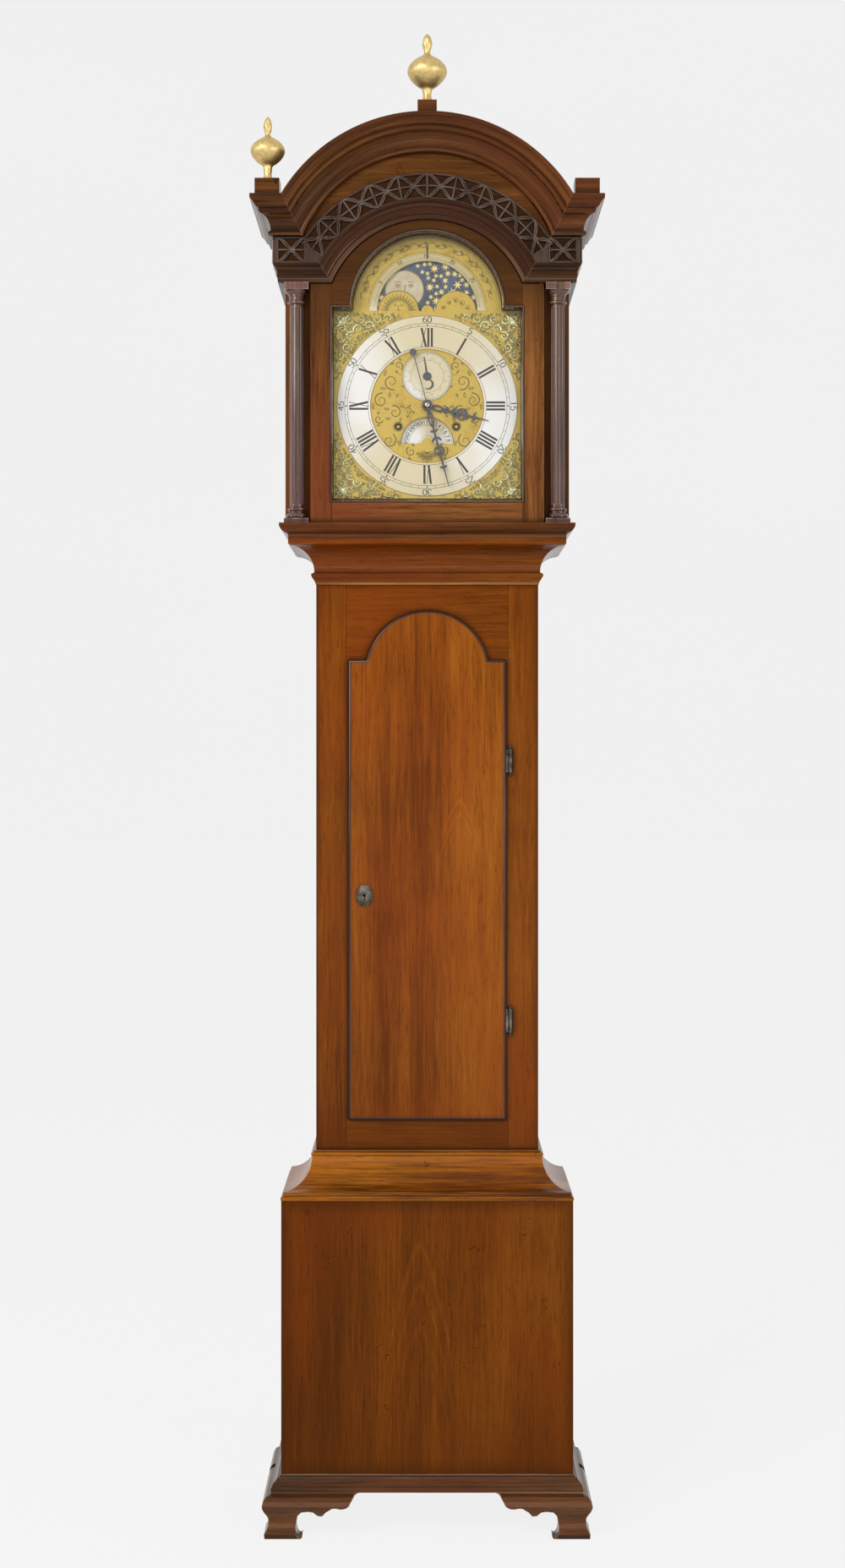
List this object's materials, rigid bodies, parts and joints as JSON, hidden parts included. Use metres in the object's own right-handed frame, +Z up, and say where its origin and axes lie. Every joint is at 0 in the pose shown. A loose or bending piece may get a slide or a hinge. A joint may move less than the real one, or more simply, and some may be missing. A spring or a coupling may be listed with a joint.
{
  "type": "longcase clock",
  "caption": "Tall mahogany longcase clock: arched hood with fret, columns and gilt finials, brass break-arch moon dial, arched trunk door, panelled base on bracket feet, working movement.",
  "frame": {"origin": "middle of the footprint at floor level", "axes": "+X to the right seen from the front, +Y to the wall behind, +Z up; the dial and doors face -Y"},
  "size_m": [0.5595, 0.26, 2.3798],
  "materials": {
    "mahogany_case": "french-polished mahogany, reddish brown",
    "mahogany_hood": "darker polished mahogany",
    "oak_boards": "unpolished oak",
    "pine": "unpolished softwood",
    "glass": "clear",
    "aged_brass": "tarnished",
    "gilt_brass": "lacquered",
    "movement_brass": "brushed",
    "silvered_brass": "silvered, warm with age",
    "painted_disc": "oil-painted",
    "bell_metal": "turned bell metal",
    "blued_steel": "blued",
    "polished_steel": "polished",
    "gut": "natural gut"
  },
  "bodies": {
    "case": {"backboard": "oak_boards", "base_panels": "mahogany_case", "plinth_moulding": "mahogany_case", "bracket_feet": "mahogany_case", "waist_moulding": "mahogany_case", "trunk_sides": "mahogany_case", "trunk_frame": "mahogany_case", "throat_moulding": "mahogany_case", "seatboard": "pine", "fixed_hinge_leaves": "aged_brass", "dial_plate": "gilt_brass", "silvered_rings": "silvered_brass", "spandrels": "gilt_brass", "movement_plates": "movement_brass", "bell": "bell_metal"},
    "hood": {"hood_carcase": "mahogany_hood", "hood_base_moulding": "mahogany_hood", "dial_mask": "mahogany_hood", "architrave": "mahogany_hood", "frieze_boards": "mahogany_hood", "fretwork": "mahogany_hood", "cornice": "mahogany_hood", "hood_top": "mahogany_hood", "finials": "gilt_brass", "hood_columns": "mahogany_hood"},
    "hood_door": {"hood_door_frame": "mahogany_hood", "hood_door_glass": "glass", "hood_door_pivots": "movement_brass"},
    "trunk_door": {"trunk_door": "mahogany_case", "door_hinge_leaves": "aged_brass", "door_lock": "movement_brass", "escutcheon": "aged_brass"},
    "lock_bolt": {"lock_bolt": "polished_steel"},
    "seconds_arbor": {"escape_wheel": "movement_brass", "seconds_hand": "blued_steel"},
    "third_arbor": {"third_wheel": "movement_brass"},
    "intermediate_arbor": {"intermediate_wheel": "movement_brass"},
    "going_great_wheel": {"going_great_wheel": "movement_brass"},
    "going_barrel": {"going_barrel": "movement_brass"},
    "going_weight": {"going_weight": "movement_brass", "going_line": "gut"},
    "minute_hand": {"minute_hand": "blued_steel"},
    "hour_hand": {"hour_hand": "blued_steel"},
    "minute_wheel": {"minute_wheel": "movement_brass"},
    "motion_driver": {"motion_driver": "movement_brass"},
    "date_disc": {"date_disc": "silvered_brass"},
    "moon_disc": {"moon_disc": "painted_disc"},
    "strike_great_wheel": {"strike_great_wheel": "movement_brass"},
    "strike_barrel": {"strike_barrel": "movement_brass"},
    "pin_arbor": {"pin_wheel": "movement_brass"},
    "gathering_arbor": {"gathering_wheel": "movement_brass"},
    "warning_arbor": {"warning_wheel": "movement_brass"},
    "fly": {"fly": "movement_brass"},
    "strike_weight": {"strike_weight": "movement_brass", "strike_line": "gut"},
    "hammer": {"hammer": "polished_steel"},
    "anchor": {"anchor": "polished_steel"},
    "pendulum": {"pendulum_rod": "polished_steel", "pendulum_bob": "movement_brass"},
    "strike_silent_hand": {"strike_silent_hand": "blued_steel"}
  },
  "joints": [
    {"name": "hood_slide", "type": "slide", "parent": "case", "child": "hood", "axis": [0, -1, 0], "range_m": [0, 0.26]},
    {"name": "hood_door_hinge", "type": "hinge", "parent": "hood", "child": "hood_door", "pos_m": [0.182, -0.082, 1.8], "axis": [0, 0, 1], "range_deg": [0, 100]},
    {"name": "trunk_door_hinge", "type": "hinge", "parent": "case", "child": "trunk_door", "pos_m": [0.134, -0.0437, 1.01], "axis": [0, 0, 1], "range_deg": [0, 105]},
    {"name": "lock_throw", "type": "slide", "parent": "trunk_door", "child": "lock_bolt", "axis": [-1, 0, 0], "range_m": [0, 0.006]},
    {"name": "pendulum_swing", "type": "hinge", "parent": "case", "child": "pendulum", "pos_m": [0, 0.07, 1.829], "axis": [0, 1, 0], "range_deg": [-3, 3]},
    {"name": "anchor_rock", "type": "hinge", "parent": "case", "child": "anchor", "pos_m": [0, 0.03, 1.829], "axis": [0, 1, 0], "range_deg": [-3, 3]},
    {"name": "going_great_turn", "type": "hinge", "parent": "case", "child": "going_great_wheel", "pos_m": [0.0466, 0, 1.764], "axis": [0, 1, 0], "continuous": true},
    {"name": "intermediate_turn", "type": "hinge", "parent": "case", "child": "intermediate_arbor", "pos_m": [0.05014, 0, 1.80545], "axis": [0, 1, 0], "continuous": true},
    {"name": "third_turn", "type": "hinge", "parent": "case", "child": "third_arbor", "pos_m": [0.023, 0, 1.80729], "axis": [0, 1, 0], "continuous": true},
    {"name": "seconds_turn", "type": "hinge", "parent": "case", "child": "seconds_arbor", "pos_m": [0, 0, 1.797], "axis": [0, 1, 0], "continuous": true},
    {"name": "minute_turn", "type": "hinge", "parent": "case", "child": "minute_hand", "pos_m": [0, 0, 1.797], "axis": [0, 1, 0], "continuous": true},
    {"name": "hour_turn", "type": "hinge", "parent": "case", "child": "hour_hand", "pos_m": [0, 0, 1.797], "axis": [0, 1, 0], "continuous": true},
    {"name": "minute_wheel_turn", "type": "hinge", "parent": "case", "child": "minute_wheel", "pos_m": [0.02507, 0, 1.80122], "axis": [0, 1, 0], "continuous": true},
    {"name": "motion_driver_turn", "type": "hinge", "parent": "case", "child": "motion_driver", "pos_m": [0.05014, 0, 1.80545], "axis": [0, 1, 0], "continuous": true},
    {"name": "date_turn", "type": "hinge", "parent": "case", "child": "date_disc", "pos_m": [0, 0, 1.737], "axis": [0, 1, 0], "continuous": true},
    {"name": "moon_turn", "type": "hinge", "parent": "case", "child": "moon_disc", "pos_m": [0, 0, 1.9495], "axis": [0, 1, 0], "continuous": true},
    {"name": "going_weight_lift", "type": "slide", "parent": "case", "child": "going_weight", "axis": [0, 0, 1], "range_m": [0, 1.08], "deforming": ["going_line"]},
    {"name": "going_barrel_turn", "type": "hinge", "parent": "case", "child": "going_barrel", "pos_m": [0.0466, 0, 1.764], "axis": [0, 1, 0], "range_deg": [0, 4800]},
    {"name": "strike_great_turn", "type": "hinge", "parent": "case", "child": "strike_great_wheel", "pos_m": [-0.0466, 0, 1.764], "axis": [0, 1, 0], "continuous": true},
    {"name": "pin_wheel_turn", "type": "hinge", "parent": "case", "child": "pin_arbor", "pos_m": [-0.05198, 0, 1.80041], "axis": [0, 1, 0], "continuous": true},
    {"name": "gathering_turn", "type": "hinge", "parent": "case", "child": "gathering_arbor", "pos_m": [-0.04599, 0, 1.82858], "axis": [0, 1, 0], "continuous": true},
    {"name": "warning_turn", "type": "hinge", "parent": "case", "child": "warning_arbor", "pos_m": [-0.02403, 0, 1.84095], "axis": [0, 1, 0], "continuous": true},
    {"name": "fly_turn", "type": "hinge", "parent": "case", "child": "fly", "pos_m": [-0.00799, 0, 1.84594], "axis": [0, 1, 0], "continuous": true},
    {"name": "strike_weight_lift", "type": "slide", "parent": "case", "child": "strike_weight", "axis": [0, 0, 1], "range_m": [0, 1.08], "deforming": ["strike_line"]},
    {"name": "strike_barrel_turn", "type": "hinge", "parent": "case", "child": "strike_barrel", "pos_m": [-0.0466, 0, 1.764], "axis": [0, 1, 0], "range_deg": [0, 4800]},
    {"name": "hammer_lift", "type": "hinge", "parent": "case", "child": "hammer", "pos_m": [-0.076, 0, 1.829], "axis": [0, 1, 0], "range_deg": [-14, 0], "stiffness_Nm_per_rad": 0.05},
    {"name": "strike_silent_turn", "type": "hinge", "parent": "case", "child": "strike_silent_hand", "pos_m": [0, 0, 1.8446], "axis": [0, 1, 0], "range_deg": [0, 180]}
  ],
  "couplings": [
    {"joint": "anchor_rock", "follows": "pendulum_swing", "ratio": 1},
    {"joint": "intermediate_turn", "follows": "going_great_turn", "ratio": -12},
    {"joint": "third_turn", "follows": "going_great_turn", "ratio": 90},
    {"joint": "seconds_turn", "follows": "going_great_turn", "ratio": -720},
    {"joint": "hour_turn", "follows": "minute_turn", "ratio": 0.083333},
    {"joint": "minute_wheel_turn", "follows": "minute_turn", "ratio": -1},
    {"joint": "motion_driver_turn", "follows": "minute_turn", "ratio": 1},
    {"joint": "date_turn", "follows": "minute_turn", "ratio": 0.0013441},
    {"joint": "moon_turn", "follows": "minute_turn", "ratio": 0.00070621},
    {"joint": "going_barrel_turn", "follows": "going_weight_lift", "rad_per_m": 77.519},
    {"joint": "strike_barrel_turn", "follows": "strike_weight_lift", "rad_per_m": 77.519},
    {"joint": "pin_wheel_turn", "follows": "strike_great_turn", "ratio": -10.5},
    {"joint": "gathering_turn", "follows": "strike_great_turn", "ratio": 84},
    {"joint": "warning_turn", "follows": "strike_great_turn", "ratio": -672},
    {"joint": "fly_turn", "follows": "strike_great_turn", "ratio": 4704}
  ]
}
